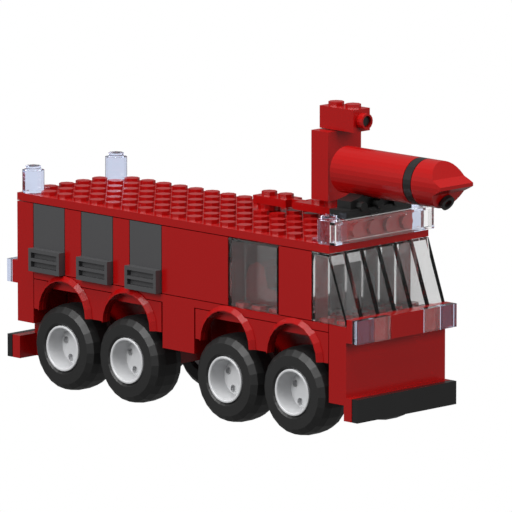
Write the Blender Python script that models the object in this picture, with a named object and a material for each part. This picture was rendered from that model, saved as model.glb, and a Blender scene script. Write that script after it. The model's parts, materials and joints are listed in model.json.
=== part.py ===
"""Toy airport fire truck with eight wheels, built of stud bricks. +X forward, +Y left, +Z up.

Sizes below are in millimetres; the model is written in metres. Heights named from the sill are
measured from the top of the deck plate, which is the sill of the cab windows.
"""
import math

import bmesh
import bpy
from mathutils import Matrix

MM = 0.001

# Driving dimensions
PITCH = 8.0            # stud to stud
PLATE = 8.0 / 3.0      # height of a plate, and thickness of a plate set on its side
COURSE = 8.0           # height of one brick
FIT = 0.3              # gap between pieces that touch
STUD_R = 2.7
STUD_H = 1.4
STUD_SIDES = 8
SHELL = 1.0            # wall of a transparent brick
HALF_W = 3 * PITCH     # half of the body's width
BODY_L = 20 * PITCH
ROOF_L = 19 * PITCH
WALL = PITCH           # a wall is one stud thick
CAB_H = 3 * COURSE     # from the sill to the underside of the roof
TYRE_R = 15.2
TYRE_W = 14.0
RIM_R = 8.0
RIM_W = 13.0
RIM_LIP = 0.9
DISH_DEPTH = 6.0
PIN_R = 2.3
PIN_FIT = 0.3
PIN_DEPTH = 4.0        # how far a pin reaches into its rim
WHEEL_PROUD = 1.7      # rim face outside the body's side
AXLE_DROP = 25.25      # axle below the sill
AXLES = (("axle_1", 3), ("axle_2", 7), ("axle_3", 13), ("axle_4", 17))   # name, studs from the rear
SIDES = (("right", -1), ("left", 1))
GUARD_DROP = 5 * PLATE
ARCH_R = 11.5
FLARE_R = 13.6
FLARE_LIP_R = 12.0
FLARE_OUT = 1.7
GUARD_T = 1.6
MID_DROP = 7 * PLATE
SPINE_DROP = 8 * PLATE
FRONT_DROP = 10 * PLATE
REAR_DROP = 12 * PLATE
BOARD_TOP = PLATE      # top of the lamp boards above the sill
BUMPER_TOP = -9 * PLATE
BARREL_R = 8.0
BARREL_UP = 8 * PLATE  # barrel axis above the roof
BARREL_REAR = 136.5
BAND_REAR = 170.3
BAND_FRONT = 174.0
NOSE_TOP = 181.0
NOSE_ROOT = 184.0
NOSE_TIP = 187.8
WEDGE_HALF = 2.6
LIP_HALF = 0.6
RING_R = 2.7
RING_BORE = 1.5
SHUTTER_STUDS = (1, 4, 7)   # where each shutter starts, in studs from the rear
STRIP_IN = 18.0        # inner face of the channel behind the shutters
STRIP_H = 11.0
ARM_V = 12.0           # centre line of the lifting arm, left of the middle
ARM_PIVOT = 88.0
ARM_HINGE = 104.0
MAST_X = 120.0
ROUND_R = 4.0
BEACON_H = 8.0

SILL = TYRE_R + AXLE_DROP
ROOF_LOW = SILL + CAB_H
ROOF = ROOF_LOW + PLATE
REAR_END = -2 * PLATE
X_MID = (REAR_END + NOSE_TIP) / 2   # puts the origin under the middle of the whole toy

COLOURS = {   # finish: colour, roughness, alpha
    "red": ((0.27, 0.001, 0.001), 0.3, 1.0), "black": ((0.01, 0.01, 0.01), 0.35, 1.0),
    "dark_grey": ((0.05, 0.05, 0.05), 0.35, 1.0), "light_grey": ((0.28, 0.28, 0.29), 0.3, 1.0),
    "tyre": ((0.012, 0.012, 0.012), 0.6, 1.0), "smoke": ((0.2, 0.2, 0.2), 0.1, 0.3),
    "clear": ((0.75, 0.75, 0.75), 0.1, 0.3), "clear_blue": ((0.5, 0.53, 0.62), 0.1, 0.35),
}


def clear_scene():
    for obj in list(bpy.data.objects):
        bpy.data.objects.remove(obj, do_unlink=True)


def material(name, finish):
    colour, roughness, alpha = COLOURS[finish]
    mat = bpy.data.materials.new(name)
    mat.use_nodes = True
    shader = mat.node_tree.nodes["Principled BSDF"]
    shader.inputs["Base Color"].default_value = (*colour, 1.0)
    shader.inputs["Roughness"].default_value = roughness
    shader.inputs["Metallic"].default_value = 0.0
    shader.inputs["Alpha"].default_value = alpha
    return mat


def place(bm):
    """Moves a mesh from millimetres behind the truck's rear face to metres about the origin."""
    bmesh.ops.transform(bm, matrix=Matrix.Scale(MM, 4) @ Matrix.Translation((-X_MID, 0, 0)), verts=bm.verts)
    bmesh.ops.recalc_face_normals(bm, faces=bm.faces)


def mesh_object(name, bm, smooth=False):
    place(bm)
    mesh = bpy.data.meshes.new(name)
    bm.to_mesh(mesh)
    bm.free()
    if smooth:
        mesh.shade_smooth()
        mesh.set_sharp_from_angle(angle=math.radians(35))
    obj = bpy.data.objects.new(name, mesh)
    bpy.context.scene.collection.objects.link(obj)
    return obj


def box(x0, x1, y0, y1, z0, z1):
    bm = bmesh.new()
    centre = Matrix.Translation(((x0 + x1) / 2, (y0 + y1) / 2, (z0 + z1) / 2))
    size = Matrix.Diagonal((x1 - x0, abs(y1 - y0), z1 - z0, 1))
    bmesh.ops.create_cube(bm, size=1, matrix=centre @ size)
    return bm


def rod(centre, radius, length, axis, sides):
    """A solid cylinder that starts at centre and runs along +axis (or -axis for a negative length)."""
    bm = bmesh.new()
    turn = {"x": Matrix.Rotation(math.pi / 2, 4, "Y"), "y": Matrix.Rotation(-math.pi / 2, 4, "X"),
            "z": Matrix.Identity(4)}[axis]
    bmesh.ops.create_cone(bm, cap_ends=True, segments=sides, radius1=radius, radius2=radius, depth=abs(length))
    bmesh.ops.transform(bm, verts=bm.verts,
                        matrix=Matrix.Translation(centre) @ turn @ Matrix.Translation((0, 0, length / 2)))
    return bm


def slab(points, y0, y1):
    """Extrudes an outline of (x, z) points along Y."""
    bm = bmesh.new()
    face = bm.faces.new([bm.verts.new((x, y0, z)) for x, z in points])
    grown = bmesh.ops.extrude_face_region(bm, geom=[face])
    tips = [item for item in grown["geom"] if isinstance(item, bmesh.types.BMVert)]
    bmesh.ops.translate(bm, verts=tips, vec=(0, y1 - y0, 0))
    return bm


def cross_slab(points, x0, x1):
    """Extrudes an outline of (y, z) points along X."""
    bm = bmesh.new()
    face = bm.faces.new([bm.verts.new((x0, y, z)) for y, z in points])
    grown = bmesh.ops.extrude_face_region(bm, geom=[face])
    tips = [item for item in grown["geom"] if isinstance(item, bmesh.types.BMVert)]
    bmesh.ops.translate(bm, verts=tips, vec=(x1 - x0, 0, 0))
    return bm


def turned(profile, x, z, side, steps):
    """Turns a closed outline of (radius, distance from the truck's middle) round an axle."""
    bm = bmesh.new()
    verts = [bm.verts.new((x + r, side * a, z)) for r, a in profile]
    edges = [bm.edges.new((verts[i], verts[(i + 1) % len(verts)])) for i in range(len(verts))]
    bmesh.ops.spin(bm, geom=verts + edges, cent=(x, 0, z), axis=(0, 1, 0), angle=2 * math.pi, steps=steps,
                   use_merge=True)
    bmesh.ops.remove_doubles(bm, verts=bm.verts, dist=1e-4)
    lone = [edge for edge in bm.edges if not edge.link_faces]
    bmesh.ops.delete(bm, geom=lone, context="EDGES")
    return bm


def half_turned(profile, x, z, side):
    """Turns a closed outline of (radius, distance from the truck's middle) over the top of an axle."""
    bm = bmesh.new()
    face = bm.faces.new([bm.verts.new((x + r, side * a, z)) for r, a in profile])
    bmesh.ops.spin(bm, geom=[face], cent=(x, 0, z), axis=(0, 1, 0), angle=-math.pi, steps=12)
    return bm


def combine(obj, bm, operation):
    tool = mesh_object("tool_" + obj.name + str(len(obj.modifiers)), bm)
    tool.hide_render = True
    tool.display_type = "WIRE"
    step = obj.modifiers.new(operation.lower(), "BOOLEAN")
    step.object = tool
    step.operation = operation
    step.solver = "EXACT"


def piece(name, finish, base, add=(), cut=(), smooth=False):
    """One node: a base solid, solids joined to it, then solids cut from it."""
    obj = mesh_object(name, base, smooth)
    obj.data.materials.append(material(name, finish))
    for bm in add:
        combine(obj, bm, "UNION")
    for bm in cut:
        combine(obj, bm, "DIFFERENCE")
    return obj


def studs(places, base, radius=STUD_R):
    """One mesh of many upright studs at (x, y), sunk into what carries them."""
    bm = bmesh.new()
    for x, y in places:
        bmesh.ops.create_cone(bm, cap_ends=True, segments=STUD_SIDES, radius1=radius, radius2=radius,
                              depth=STUD_H + 1.0, matrix=Matrix.Translation((x, y, base + (STUD_H - 1.0) / 2)))
    return bm


def side_studs(places, x_face, way):
    """Studs that stand out along X at (y, z)."""
    bm = bmesh.new()
    turn = Matrix.Rotation(math.pi / 2, 4, "Y")
    for y, z in places:
        centre = Matrix.Translation((x_face + way * (STUD_H - 1.0) / 2, y, z))
        bmesh.ops.create_cone(bm, cap_ends=True, segments=STUD_SIDES, radius1=STUD_R, radius2=STUD_R,
                              depth=STUD_H + 1.0, matrix=centre @ turn)
    return bm


def column_y(row):
    """Middle of stud row 0 (right) to 5 (left)."""
    return -HALF_W + (row + 0.5) * PITCH


def build_chassis():
    axle_z = SILL - AXLE_DROP
    add = []
    pin_end = HALF_W + WHEEL_PROUD - RIM_W + PIN_DEPTH
    for _, stud in AXLES:
        x = stud * PITCH
        add.append(box(x - 4, x + 4, -PITCH, PITCH, axle_z - 3.4, SILL - SPINE_DROP + 1))
        add.append(rod((x, -pin_end, axle_z), PIN_R, 2 * pin_end, "y", 12))
    piece("chassis", "red", box(WALL + FIT, BODY_L - WALL - FIT, -PITCH, PITCH, SILL - SPINE_DROP,
                                SILL - PLATE - FIT), add)


def build_deck():
    free = [(u * PITCH + PITCH / 2, column_y(row)) for u in range(18, 19) for row in range(6)]
    free += [(u * PITCH + PITCH / 2, column_y(row)) for u in (13, 14, 15) for row in (0, 5)]
    free += [(u * PITCH + PITCH / 2, column_y(row)) for u in (17,) for row in range(1, 5)]
    add = [studs(free, SILL)]
    for _, side in SIDES:
        ys = sorted((side * 2 * PITCH, side * HALF_W))
        add.append(box(9 * PITCH + FIT, 11 * PITCH - FIT, *ys, SILL - MID_DROP, SILL - 1))
    add.append(box(11 * PITCH, 12 * PITCH, -2 * PITCH + FIT, 2 * PITCH - FIT, SILL - 1, ROOF_LOW - FIT))
    piece("deck_plate", "red", box(WALL + FIT, BODY_L - WALL - FIT, -HALF_W, HALF_W, SILL - PLATE, SILL), add)


def build_guards():
    """Each guard covers two wheels of one side: a top, an outer skirt with two arches, and flared lips."""
    low, high = SILL - GUARD_DROP, SILL - PLATE - FIT
    for end, first, studs_at in (("rear", 1, (3, 7)), ("front", 11, (13, 17))):
        x0, x1 = first * PITCH + FIT, (first + 8) * PITCH - FIT
        for name, side in SIDES:
            outline = [(side * y, z) for y, z in (
                (PITCH + FIT, high - PLATE), (PITCH + FIT, high), (HALF_W, high), (HALF_W, low),
                (HALF_W - GUARD_T, low), (HALF_W - GUARD_T, high - PLATE))]
            add, cut = [], []
            for stud in studs_at:
                x = stud * PITCH
                lip = [(FLARE_R, HALF_W - 0.8), (FLARE_R, HALF_W + 0.15), (FLARE_LIP_R, HALF_W + FLARE_OUT),
                       (ARCH_R + 0.15, HALF_W + FLARE_OUT), (ARCH_R + 0.15, HALF_W - 0.8)]
                add.append(half_turned(lip, x, low + 0.05, side))
                cut.append(rod((x, side * (HALF_W - GUARD_T - 0.3), low), ARCH_R, side * (GUARD_T + 4), "y", 24))
            cut.append(box(x0 - 1, x1 + 1, *sorted((side * 20, side * (HALF_W + FIT))), high + 0.05, high + 8))
            piece(f"wheel_guard_{end}_{name}", "red", cross_slab(outline, x0, x1), add, cut)


def build_walls():
    low, high = SILL + FIT, ROOF_LOW - FIT
    # Rear wall: upper wall, skirt, and the two plates on its back that carry lamps and bumper.
    add = [box(0, WALL, -2 * PITCH, 2 * PITCH, SILL - REAR_DROP, SILL - MID_DROP + 1),
           box(-PLATE, 1, -HALF_W, HALF_W, SILL + BOARD_TOP - COURSE, SILL + BOARD_TOP),
           box(-PLATE, 1, -HALF_W, HALF_W, SILL + BUMPER_TOP - COURSE, SILL + BUMPER_TOP)]
    piece("rear_wall", "red", box(0, WALL, -HALF_W, HALF_W, SILL - MID_DROP, high), add)
    # Front wall: skirt with the same two plates, a lettering-free tile in the middle, and sill studs.
    face = BODY_L + PLATE
    add = [box(BODY_L - 1, face, -HALF_W, HALF_W, SILL + BOARD_TOP - COURSE, SILL - FIT),
           box(BODY_L + FIT, face, -HALF_W + 0.001, HALF_W - 0.001, SILL - 2, SILL + BOARD_TOP),
           box(BODY_L - 1, face, -HALF_W, HALF_W, SILL + BUMPER_TOP - COURSE, SILL + BUMPER_TOP),
           box(face - 1, face + PLATE, -PITCH + FIT / 2, PITCH - FIT / 2, SILL + BOARD_TOP - COURSE,
               SILL + BOARD_TOP),
           studs([(19.5 * PITCH, column_y(row)) for row in range(6)], SILL)]
    piece("front_wall", "red", box(BODY_L - WALL, BODY_L, -HALF_W, HALF_W, SILL - FRONT_DROP, SILL), add)
    for name, side in SIDES:
        inner, back, outer = side * 2 * PITCH, side * 2.5 * PITCH, side * HALF_W
        ys = sorted((inner, outer))
        cut = [box(u * PITCH - (1 if u == 1 else 0), (u + 2) * PITCH, *sorted((back, outer + side)), low - 1,
                   high + 1) for u in SHUTTER_STUDS]
        cut.append(box(WALL - 1, 9 * PITCH, *sorted((side * STRIP_IN, back + side * 1.6)), low - 1,
                       low + STRIP_H + FIT))
        piece(f"side_wall_{name}", "red", box(WALL + FIT, 13 * PITCH, *ys, low, high), (), cut)
        piece(f"cab_post_{name}", "red", box(16 * PITCH + FIT, 18 * PITCH - FIT, *ys, low, high))
        build_shutters(name, side, low, high)
        build_side_window(name, side)


def build_shutters(name, side, low, high):
    """Three roller shutters with slotted lower tiles, joined behind by a strip inside the wall."""
    outer = side * HALF_W
    back = side * (2.5 * PITCH + FIT)
    add, cut = [], []
    for u in SHUTTER_STUDS:
        x0, x1 = u * PITCH + FIT, (u + 2) * PITCH - FIT
        tile = sorted((outer - side, outer + side * PLATE))
        add += [box(x0, x1, *sorted((back, outer)), low, high), box(x0, x1, *tile, low, low + COURSE)]
        cut += [box(x0 + 1.3, x1 - 1.3, *sorted((outer + side * 1.0, outer + side * 4)), low + z, low + z + 2.0)
                for z in (1.6, 4.7)]
    strip = sorted((side * (STRIP_IN + FIT), back + side))
    piece(f"shutters_{name}", "dark_grey", box(WALL + 2 * FIT, 9 * PITCH - 2 * FIT, *strip, low + 0.1, low + STRIP_H),
          add, cut)


def build_side_window(name, side):
    x0, x1 = 13 * PITCH + FIT, 16 * PITCH - FIT / 2
    ys = sorted((side * 2 * PITCH, side * HALF_W))
    low, high = SILL + FIT, ROOF_LOW - FIT
    hollow = box(x0 + SHELL, x1 - SHELL, ys[0] + SHELL, ys[1] - SHELL, low - 1, high - SHELL)
    piece(f"side_window_{name}", "smoke", box(x0, x1, *ys, low, high), (), [hollow])


def build_windscreen():
    """Six sloped bricks side by side, as one ribbed shell open underneath."""
    low, high = SILL + FIT, ROOF_LOW - FIT
    x0, x1, top = 18 * PITCH, BODY_L, ROOF_L
    outline = [(x0, low), (x1, low), (x1, low + 1.5), (top, high), (x0, high)]
    cut = []
    inner = [(x0 + SHELL, low - 1), (x1 - SHELL, low - 1), (x1 - SHELL, low + 1.2), (top - SHELL, high - SHELL),
             (x0 + SHELL, high - SHELL)]
    for row in range(6):
        y = -HALF_W + row * PITCH
        cut.append(slab(inner, y + SHELL, y + PITCH - SHELL))
    piece("windscreen", "smoke", slab(outline, -HALF_W, HALF_W), (), cut)


def build_roof():
    taken = {(18, 0), (18, 1), (18, 2), (18, 3), (18, 4), (18, 5), (0, 0), (0, 5), (10, 4), (11, 4)}
    free = [((u + 0.5) * PITCH, column_y(row)) for u in range(19) for row in range(6) if (u, row) not in taken]
    piece("roof_plate", "red", box(0, ROOF_L, -HALF_W, HALF_W, ROOF_LOW, ROOF), [studs(free, ROOF)])
    for name, u, row in (("rear_right", 0, 0), ("rear_left", 0, 5), ("front_right", 18, 0), ("front_left", 18, 5)):
        x, y = (u + 0.5) * PITCH, column_y(row)
        piece(f"beacon_{name}", "clear_blue", rod((x, y, ROOF + FIT), PITCH / 2 - FIT / 2, BEACON_H - FIT, "z", 16),
              [studs([(x, y)], ROOF + BEACON_H)], smooth=True)


def build_sign():
    x0, x1 = 18 * PITCH, ROOF_L
    rows = [(column_y(row), ROOF + COURSE / 2) for row in range(1, 5)]
    piece("sign_brick", "red", box(x0, x1, -2 * PITCH + FIT, 2 * PITCH - FIT, ROOF + FIT, ROOF + COURSE - FIT),
          [side_studs(rows, x1, 1)])
    hollow = box(x1, x1 + FIT + PLATE - SHELL, -HALF_W + SHELL, HALF_W - SHELL, ROOF + 1.0,
                 ROOF + COURSE - 1.0)
    piece("sign_panel", "clear", box(x1 + FIT, x1 + PLATE, -HALF_W, HALF_W, ROOF + FIT, ROOF + COURSE), (), [hollow])


def build_cannon():
    base = ROOF + COURSE
    x0 = 18 * PITCH
    plate_top = base + PLATE
    # Side view of the cradle across the truck: two shoulders, two humps and a valley for the barrel.
    cradle = [(-12, plate_top - 1), (-12, plate_top + 2.6), (-8, plate_top + 3.4), (-6, plate_top + 4.2),
              (-4, plate_top + 3.0), (0, plate_top + 2.3), (4, plate_top + 3.0), (6, plate_top + 4.2),
              (8, plate_top + 3.4), (12, plate_top + 2.6), (12, plate_top - 1)]
    add = [cross_slab(cradle, x0, x0 + 6.3)]
    add += [rod((x0 + 5.5, y, plate_top + 0.7), 1.7, 3.3, "x", 8) for y in (-8, 0, 8)]
    piece("cannon_mount", "black", box(x0, x0 + PITCH, -2 * PITCH + FIT, 2 * PITCH - FIT, base, plate_top), add)
    z = ROOF + BARREL_UP
    piece("cannon_barrel", "red", rod((BARREL_REAR, 0, z), BARREL_R, BAND_REAR - BARREL_REAR, "x", 32), smooth=True)
    piece("cannon_band", "black", rod((BAND_REAR + FIT, 0, z), BARREL_R, BAND_FRONT - BAND_REAR - FIT, "x", 32),
          smooth=True)
    wedge = [(BAND_FRONT + FIT, z - BARREL_R - 1), (NOSE_TOP, z - BARREL_R), (NOSE_ROOT, z - WEDGE_HALF),
             (NOSE_TIP, z - LIP_HALF), (NOSE_TIP, z + LIP_HALF), (NOSE_ROOT, z + WEDGE_HALF),
             (NOSE_TOP, z + BARREL_R), (BAND_FRONT + FIT, z + BARREL_R + 1)]
    nose = piece("cannon_nose", "red", slab(wedge, -BARREL_R - 1, BARREL_R + 1))
    combine(nose, rod((BAND_FRONT - 5, 0, z), BARREL_R, 30, "x", 32), "INTERSECT")
    # A black spout ring stands square on the lower facet.
    lean = math.atan2(BARREL_R - WEDGE_HALF, NOSE_ROOT - NOSE_TOP)
    mid_x, mid_z = (NOSE_TOP + NOSE_ROOT) / 2, z - (BARREL_R + WEDGE_HALF) / 2
    ring = rod((0, 0, 0), RING_R, 1.4, "z", 16)
    bore = rod((0, 0, -1), RING_BORE, 4, "z", 16)
    aim = Matrix.Translation((mid_x + FIT * math.sin(lean), 0, mid_z - FIT * math.cos(lean)))
    for bm in (ring, bore):
        bmesh.ops.transform(bm, matrix=aim @ Matrix.Rotation(math.pi - lean, 4, "Y"), verts=bm.verts)
    piece("spout_ring", "black", ring, (), [bore])


def build_arm():
    """The lifting arm: a round plate that swivels on the roof, a hinge, a mast and its lamp head."""
    y0, y1 = ARM_V - PITCH / 2, ARM_V + PITCH / 2
    low, high = ROOF + PLATE, ROOF + 2 * PLATE
    end = ARM_HINGE - 4.2
    piece("arm_base", "red", rod((ARM_PIVOT, ARM_V, ROOF + FIT), ROUND_R, PLATE, "z", 16),
          [box(ARM_PIVOT - PITCH / 2, end, y0, y1, low, high),
           studs([(ARM_PIVOT, ARM_V), (ARM_PIVOT + PITCH, ARM_V)], high),
           box(end - 1, ARM_HINGE, ARM_V - 1.2, ARM_V + 1.2, low, high),
           rod((ARM_HINGE, ARM_V - 1.2, (low + high) / 2), PLATE / 2, 2.4, "y", 12)])
    knuckle = rod((ARM_HINGE, y0, (low + high) / 2), PLATE / 2, PITCH, "y", 12)
    slot = box(ARM_HINGE - 3, ARM_HINGE + 2.0, ARM_V - 1.5, ARM_V + 1.5, low - 2, high + 2)
    piece("arm_plate", "red", box(ARM_HINGE, MAST_X + PITCH / 2, y0, y1, low, high),
          [knuckle, studs([(ARM_HINGE + PITCH, ARM_V)], high),
           rod((MAST_X, ARM_V, high - 1), ROUND_R, PLATE + 1, "z", 16)], [slot])
    foot = high + PLATE
    top = foot + CAB_H
    piece("mast", "red", box(MAST_X - PITCH / 2, MAST_X + PITCH / 2, ARM_V - PITCH, ARM_V + PITCH, foot + FIT, top))
    lamp_z = top + COURSE / 2
    front = MAST_X + 1.5 * PITCH
    piece("mast_head", "red", box(MAST_X - PITCH / 2, front, y0, y1, top + FIT, top + COURSE),
          [studs([(MAST_X, ARM_V), (MAST_X + PITCH, ARM_V)], top + COURSE),
           rod((front - 1, ARM_V, lamp_z), STUD_R, PLATE + 1, "x", 16)],
          [rod((front + 0.8, ARM_V, lamp_z), 2.0, 6, "x", 16)])
    piece("mast_lens", "black", rod((front + 0.8 + FIT, ARM_V, lamp_z), 2.0 - FIT, 0.6, "x", 12))


def build_ends():
    face = BODY_L + 2 * PLATE
    z0, z1 = SILL + BOARD_TOP - COURSE, SILL + BOARD_TOP
    for name, side in SIDES:
        for kind, finish, a, b in (("outer", "clear_blue", 2, 3), ("inner", "clear", 1, 2)):
            ys = sorted((side * (a * PITCH + FIT / 2), side * (b * PITCH - (FIT / 2 if b < 3 else 0))))
            piece(f"front_lamp_{kind}_{name}", finish, box(BODY_L + PLATE + FIT, face, *ys, z0, z1))
        ys = sorted((side * 2 * PITCH, side * HALF_W))
        piece(f"rear_lamp_{name}", "clear_blue", box(REAR_END, -PLATE - FIT, *ys, z0, z1))
    z0, z1 = SILL + BUMPER_TOP - COURSE, SILL + BUMPER_TOP
    piece("front_bumper", "black", box(BODY_L + PLATE + FIT, face, -HALF_W, HALF_W, z0, z1))
    piece("rear_bumper", "black", box(REAR_END, -PLATE - FIT, -HALF_W, HALF_W, z0, z1))


def build_cab():
    low = SILL + FIT
    for name, side in SIDES[:1]:
        y = side * PITCH
        back = [(13 * PITCH, low), (16 * PITCH, low), (16 * PITCH, low + 5), (14.3 * PITCH, low + 6),
                (14.1 * PITCH, low + 13), (13.7 * PITCH, low + 14.5), (13.2 * PITCH, low + 13), (13 * PITCH, low + 8)]
        piece("cab_seat", "red", slab(back, -PITCH * 1.8, PITCH * 1.8))
    desk = [(16.6 * PITCH, low), (17 * PITCH, low), (17 * PITCH, low + 9), (16.2 * PITCH, low + 14),
            (16.2 * PITCH, low + 12)]
    piece("cab_desk", "dark_grey", slab(desk, -PITCH * 1.8, PITCH * 1.8))


def build_wheels():
    z = SILL - AXLE_DROP
    face = HALF_W + WHEEL_PROUD
    bore = face - RIM_W + PIN_DEPTH + 1.0
    rim = [(0, face - DISH_DEPTH), (RIM_R - RIM_LIP - 0.6, face - DISH_DEPTH), (RIM_R - RIM_LIP, face), (RIM_R, face),
           (RIM_R, face - RIM_W), (PIN_R + PIN_FIT, face - RIM_W), (PIN_R + PIN_FIT, bore), (0, bore)]
    r0 = RIM_R + FIT
    tyre = [(r0, face - 0.6), (r0 + 0.8, face), (12.6, face), (14.5, face - 1.6), (TYRE_R, face - 4.4),
            (TYRE_R, face - TYRE_W + 4.4), (14.5, face - TYRE_W + 1.6), (12.6, face - TYRE_W),
            (r0 + 0.8, face - TYRE_W), (r0, face - TYRE_W + 0.6)]
    for axle, stud in AXLES:
        for name, side in SIDES:
            x = stud * PITCH
            for kind, finish, profile in (("rim", "light_grey", rim), ("tyre", "tyre", tyre)):
                obj = piece(f"{kind}_{axle[-1]}_{name}", finish, turned(profile, x, z, side, 24), smooth=True)
                obj.data.transform(Matrix.Translation((-(x - X_MID) * MM, 0, -z * MM)))
                obj.location = ((x - X_MID) * MM, 0, z * MM)


clear_scene()
build_chassis()
build_deck()
build_guards()
build_walls()
build_windscreen()
build_roof()
build_sign()
build_cannon()
build_arm()
build_ends()
build_cab()
build_wheels()
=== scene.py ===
"""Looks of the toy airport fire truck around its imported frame: wheels, plastics, light and camera."""
import json
import logging
import math
from dataclasses import dataclass
from enum import Enum

import bmesh
import bpy
from mathutils import Matrix, Vector


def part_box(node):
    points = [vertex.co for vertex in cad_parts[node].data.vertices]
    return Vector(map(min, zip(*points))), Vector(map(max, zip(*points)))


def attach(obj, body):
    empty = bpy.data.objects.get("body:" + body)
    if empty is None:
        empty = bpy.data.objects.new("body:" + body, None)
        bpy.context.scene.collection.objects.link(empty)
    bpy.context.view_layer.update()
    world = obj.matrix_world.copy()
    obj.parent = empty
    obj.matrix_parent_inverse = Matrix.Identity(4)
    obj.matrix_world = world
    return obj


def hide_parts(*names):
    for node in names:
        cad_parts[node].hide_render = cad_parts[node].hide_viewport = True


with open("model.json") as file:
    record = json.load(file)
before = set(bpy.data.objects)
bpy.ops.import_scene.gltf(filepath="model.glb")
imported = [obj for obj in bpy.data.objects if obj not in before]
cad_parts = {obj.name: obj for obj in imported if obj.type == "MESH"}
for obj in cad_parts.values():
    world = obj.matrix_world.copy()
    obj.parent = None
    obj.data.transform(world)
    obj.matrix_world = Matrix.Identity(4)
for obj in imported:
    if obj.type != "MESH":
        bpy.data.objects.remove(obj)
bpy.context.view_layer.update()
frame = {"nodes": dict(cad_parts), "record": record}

LOG = logging.getLogger("fire_truck")
MM = 0.001


class Slot(Enum):
    """The record's material slots."""

    RED = "red_plastic"
    BLACK = "black_plastic"
    DARK_GREY = "dark_grey_plastic"
    LIGHT_GREY = "light_grey_plastic"
    SMOKE = "smoke_plastic"
    CLEAR = "clear_plastic"
    CLEAR_BLUE = "clear_blue_plastic"
    TYRE = "tyre_rubber"


@dataclass(frozen=True)
class Finish:
    """How one plastic looks. Wear is the share of roughness that varies; clear lets light through."""

    slot: Slot
    colour: tuple[float, float, float]
    roughness: float
    wear: float = 0.06
    clear: float = 0.0

    def material(self, grain: bpy.types.NodeTree) -> bpy.types.Material:
        """Makes the Principled material.

        Args:
            grain: the shared group that gives a roughness mask and a normal.

        Returns:
            The material, whose coordinates are the object's own.
        """
        mat = bpy.data.materials.new(self.slot.value)
        mat.use_nodes = True
        nodes, links = mat.node_tree.nodes, mat.node_tree.links
        shader = nodes["Principled BSDF"]
        shader.inputs["Base Color"].default_value = (*self.colour, 1.0)
        shader.inputs["IOR"].default_value = 1.53
        shader.inputs["Transmission Weight"].default_value = self.clear
        group = nodes.new("ShaderNodeGroup")
        group.node_tree = grain
        coords = nodes.new("ShaderNodeTexCoord")
        links.new(coords.outputs["Object"], group.inputs["Place"])
        group.inputs["Roughness"].default_value = self.roughness
        group.inputs["Wear"].default_value = self.wear
        links.new(group.outputs["Roughness"], shader.inputs["Roughness"])
        if not self.clear:
            links.new(group.outputs["Normal"], shader.inputs["Normal"])
        return mat


FINISHES = (
    Finish(Slot.RED, (0.27, 0.001, 0.001), 0.2),
    Finish(Slot.BLACK, (0.008, 0.008, 0.008), 0.25),
    Finish(Slot.DARK_GREY, (0.05, 0.05, 0.052), 0.3),
    Finish(Slot.LIGHT_GREY, (0.5, 0.505, 0.515), 0.28),
    Finish(Slot.SMOKE, (0.84, 0.84, 0.84), 0.02, 0.01, 1.0),
    Finish(Slot.CLEAR, (0.88, 0.88, 0.88), 0.03, 0.01, 1.0),
    Finish(Slot.CLEAR_BLUE, (0.62, 0.68, 0.85), 0.05, 0.01, 1.0),
    Finish(Slot.TYRE, (0.006, 0.006, 0.006), 0.42, 0.12),
)


def grain_group() -> bpy.types.NodeTree:
    """The moulded surface that every plastic shares: faint waviness and uneven polish.

    Returns:
        A node group with a roughness value and a normal.
    """
    tree = bpy.data.node_groups.new("moulded_surface", "ShaderNodeTree")
    for name, kind in (("Place", "NodeSocketVector"), ("Roughness", "NodeSocketFloat"), ("Wear", "NodeSocketFloat")):
        tree.interface.new_socket(name, in_out="INPUT", socket_type=kind)
    tree.interface.new_socket("Roughness", in_out="OUTPUT", socket_type="NodeSocketFloat")
    tree.interface.new_socket("Normal", in_out="OUTPUT", socket_type="NodeSocketVector")
    inside, outside = tree.nodes.new("NodeGroupInput"), tree.nodes.new("NodeGroupOutput")
    noise = tree.nodes.new("ShaderNodeTexNoise")
    noise.inputs["Scale"].default_value = 90.0
    noise.inputs["Detail"].default_value = 4.0
    vary = tree.nodes.new("ShaderNodeMath")
    vary.operation = "MULTIPLY_ADD"
    bump = tree.nodes.new("ShaderNodeBump")
    bump.inputs["Strength"].default_value = 0.04
    bump.inputs["Distance"].default_value = 0.2 * MM
    tree.links.new(inside.outputs["Place"], noise.inputs["Vector"])
    tree.links.new(noise.outputs[0], vary.inputs[0])
    tree.links.new(inside.outputs["Wear"], vary.inputs[1])
    tree.links.new(inside.outputs["Roughness"], vary.inputs[2])
    tree.links.new(vary.outputs[0], outside.inputs["Roughness"])
    tree.links.new(noise.outputs[0], bump.inputs["Height"])
    tree.links.new(bump.outputs["Normal"], outside.inputs["Normal"])
    return tree


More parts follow.
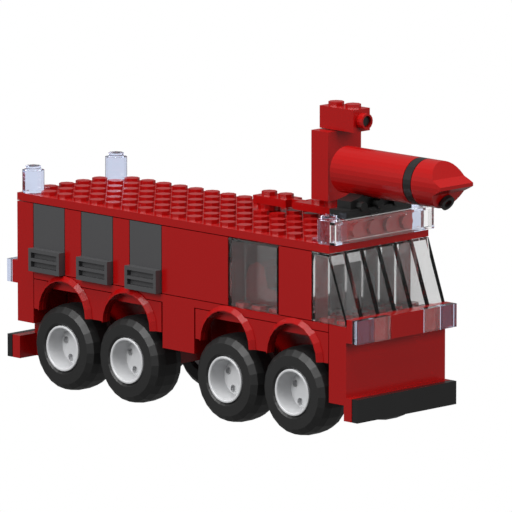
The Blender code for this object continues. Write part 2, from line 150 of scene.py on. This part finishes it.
@dataclass
class Wheel:
    """A dished rim with four holes in its disc, standing for the frame's plain rim."""

    number: int
    name: str
    side: int
    finish: bpy.types.Material

    STEPS = 64
    DISH = 6.0 * MM
    LIP = 0.9 * MM
    BORE_R = 2.6 * MM
    BORE_DEPTH = 5.0 * MM
    HOLE_RING = 4.5 * MM
    HOLE_R = 1.3 * MM
    HOLE_DEPTH = 1.6 * MM
    HOLE_ANGLES = (67, 157, 247, 337)

    def build(self) -> bpy.types.Object:
        """Builds the rim inside the box of the frame's rim.

        Returns:
            The finished object, riding on its wheel's body.
        """
        node = f"rim_{self.number}_{self.name}"
        low, high = (Vector(corner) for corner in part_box(node))
        centre, radius = (low + high) / 2, (high.z - low.z) / 2
        face = high.y if self.side > 0 else low.y
        bm = bmesh.new()
        outline = [(0, self.DISH), (radius - 2.2 * self.LIP, self.DISH), (radius - self.LIP, 0.2 * MM),
                   (radius - 0.7 * self.LIP, 0), (radius - 0.2 * MM, 0), (radius, 0.2 * MM),
                   (radius, high.y - low.y), (self.BORE_R, high.y - low.y),
                   (self.BORE_R, high.y - low.y - self.BORE_DEPTH), (0, high.y - low.y - self.BORE_DEPTH)]
        verts = [bm.verts.new((centre.x + r, face - self.side * depth, centre.z)) for r, depth in outline]
        edges = [bm.edges.new(pair) for pair in zip(verts, verts[1:])]
        bmesh.ops.spin(bm, geom=verts + edges, cent=centre, axis=(0, 1, 0), angle=2 * math.pi, steps=self.STEPS,
                       use_merge=True)
        bmesh.ops.remove_doubles(bm, verts=bm.verts, dist=1e-7)
        bmesh.ops.recalc_face_normals(bm, faces=bm.faces)
        rim = _object(f"{node}_look", bm)
        cutter = self._holes(centre, face)
        rim.data = _cut(rim, cutter)
        rim.data.materials.clear()
        rim.data.materials.append(self.finish)
        rim.data.shade_smooth()
        rim.data.set_sharp_from_angle(angle=math.radians(32))
        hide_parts(node)
        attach(rim, f"wheel_{self.number}_{self.name}")
        return rim

    def _holes(self, centre: Vector, face: float) -> bpy.types.Object:
        """Four blind holes sunk in the disc.

        Args:
            centre: middle of the rim.
            face: the rim's outer plane along Y.

        Returns:
            One object that holds the four cutters.
        """
        bm = bmesh.new()
        for degrees in self.HOLE_ANGLES:
            angle = math.radians(degrees)
            place = Vector((centre.x + self.HOLE_RING * math.cos(angle), face - self.side * self.DISH,
                            centre.z + self.HOLE_RING * math.sin(angle)))
            bmesh.ops.create_cone(bm, cap_ends=True, segments=24, radius1=self.HOLE_R, radius2=self.HOLE_R,
                                  depth=2 * self.HOLE_DEPTH,
                                  matrix=Matrix.Translation(place) @ Matrix.Rotation(math.pi / 2, 4, "X"))
        return _object("hole_cutter", bm)


def _object(name: str, bm: bmesh.types.BMesh) -> bpy.types.Object:
    """Turns a bmesh into a linked object at the origin."""
    mesh = bpy.data.meshes.new(name)
    bm.to_mesh(mesh)
    bm.free()
    obj = bpy.data.objects.new(name, mesh)
    bpy.context.scene.collection.objects.link(obj)
    return obj


def _cut(obj: bpy.types.Object, cutter: bpy.types.Object) -> bpy.types.Mesh:
    """Cuts one object from another and removes the cutter.

    Args:
        obj: what is cut.
        cutter: what it is cut with.

    Returns:
        The cut mesh.
    """
    step = obj.modifiers.new("cut", "BOOLEAN")
    step.object, step.operation, step.solver = cutter, "DIFFERENCE", "EXACT"
    result = bpy.data.meshes.new_from_object(obj.evaluated_get(bpy.context.evaluated_depsgraph_get()))
    obj.modifiers.remove(step)
    bpy.data.objects.remove(cutter, do_unlink=True)
    return result


@dataclass(frozen=True)
class Lamp:
    """One soft light: where it stands round the toy, how big and how strong."""

    name: str
    azimuth: float
    elevation: float
    size: float
    power: float
    distance: float = 0.9

    def build(self) -> None:
        """Adds the light, turned to the toy."""
        data = bpy.data.lights.new(self.name, "AREA")
        data.size, data.energy = self.size, self.power
        obj = bpy.data.objects.new(self.name, data)
        a, e = math.radians(self.azimuth), math.radians(self.elevation)
        obj.location = self.distance * Vector((math.cos(e) * math.cos(a), math.cos(e) * math.sin(a), math.sin(e)))
        obj.rotation_euler = (Vector((0, 0, 0.04)) - obj.location).to_track_quat("-Z", "Y").to_euler()
        bpy.context.scene.collection.objects.link(obj)


@dataclass(frozen=True)
class Studio:
    """White surroundings, lights and the camera."""

    lamps: tuple[Lamp, ...] = (
        Lamp("overhead", -60, 80, 0.7, 11.0),
        Lamp("front", 10, 25, 0.5, 5.0),
        Lamp("side", -95, 30, 0.5, 7.0),
    )
    azimuth: float = -44.789
    elevation: float = 10.318
    distance: float = 2.613
    lens: float = 535.2
    aim: tuple[float, float, float] = (-0.011233, 0.0, 0.04045)
    shift_right: float = 0.00954
    shift_up: float = 0.011

    def build(self) -> None:
        """Sets up world, lamps and camera."""
        scene = bpy.context.scene
        scene.view_settings.view_transform = "Standard"
        self._world(scene)
        for lamp in self.lamps:
            lamp.build()
        a, e = math.radians(self.azimuth), math.radians(self.elevation)
        back = Vector((math.cos(e) * math.cos(a), math.cos(e) * math.sin(a), math.sin(e)))
        right = Vector((-math.sin(a), math.cos(a), 0))
        aim = Vector(self.aim)
        camera = bpy.data.objects.new("camera", bpy.data.cameras.new("camera"))
        camera.data.lens, camera.data.sensor_width = self.lens, 36.0
        camera.data.clip_start, camera.data.clip_end = 0.1, 20.0
        camera.location = aim + self.distance * back
        target = aim + self.shift_right * right + self.shift_up * back.cross(right)
        camera.rotation_euler = (target - camera.location).to_track_quat("-Z", "Y").to_euler()
        scene.collection.objects.link(camera)
        scene.camera = camera

    @staticmethod
    def _world(scene: bpy.types.Scene) -> None:
        """White where the camera sees past the toy, softer where the toy is lit."""
        world = bpy.data.worlds.new("studio")
        world.use_nodes = True
        nodes, links = world.node_tree.nodes, world.node_tree.links
        ground = nodes["Background"]
        ground.inputs["Color"].default_value = (1, 1, 1, 1)
        path = nodes.new("ShaderNodeLightPath")
        seen = nodes.new("ShaderNodeMath")
        seen.operation = "MAXIMUM"
        level = nodes.new("ShaderNodeMapRange")
        level.inputs["To Min"].default_value, level.inputs["To Max"].default_value = 0.2, 1.0
        links.new(path.outputs["Is Camera Ray"], seen.inputs[0])
        links.new(path.outputs["Is Transmission Ray"], seen.inputs[1])
        links.new(seen.outputs[0], level.inputs["Value"])
        links.new(level.outputs["Result"], ground.inputs["Strength"])
        scene.world = world


def main() -> None:
    """Finishes every frame node, adds the wheels, then the studio."""
    logging.basicConfig(level=logging.INFO)
    grain = grain_group()
    looks = {finish.slot.value: finish.material(grain) for finish in FINISHES}
    slots = {row["node"]: row["material_slot"] for row in frame["record"]["subparts"]}
    for name, node in frame["nodes"].items():
        node.data.materials.clear()
        node.data.materials.append(looks[slots[name]])
    for number in range(1, 5):
        for name, side in (("right", -1), ("left", 1)):
            Wheel(number, name, side, looks[Slot.LIGHT_GREY.value]).build()
    Studio().build()
    LOG.info("built %d frame nodes", len(slots))


if __name__ == "__main__":
    main()
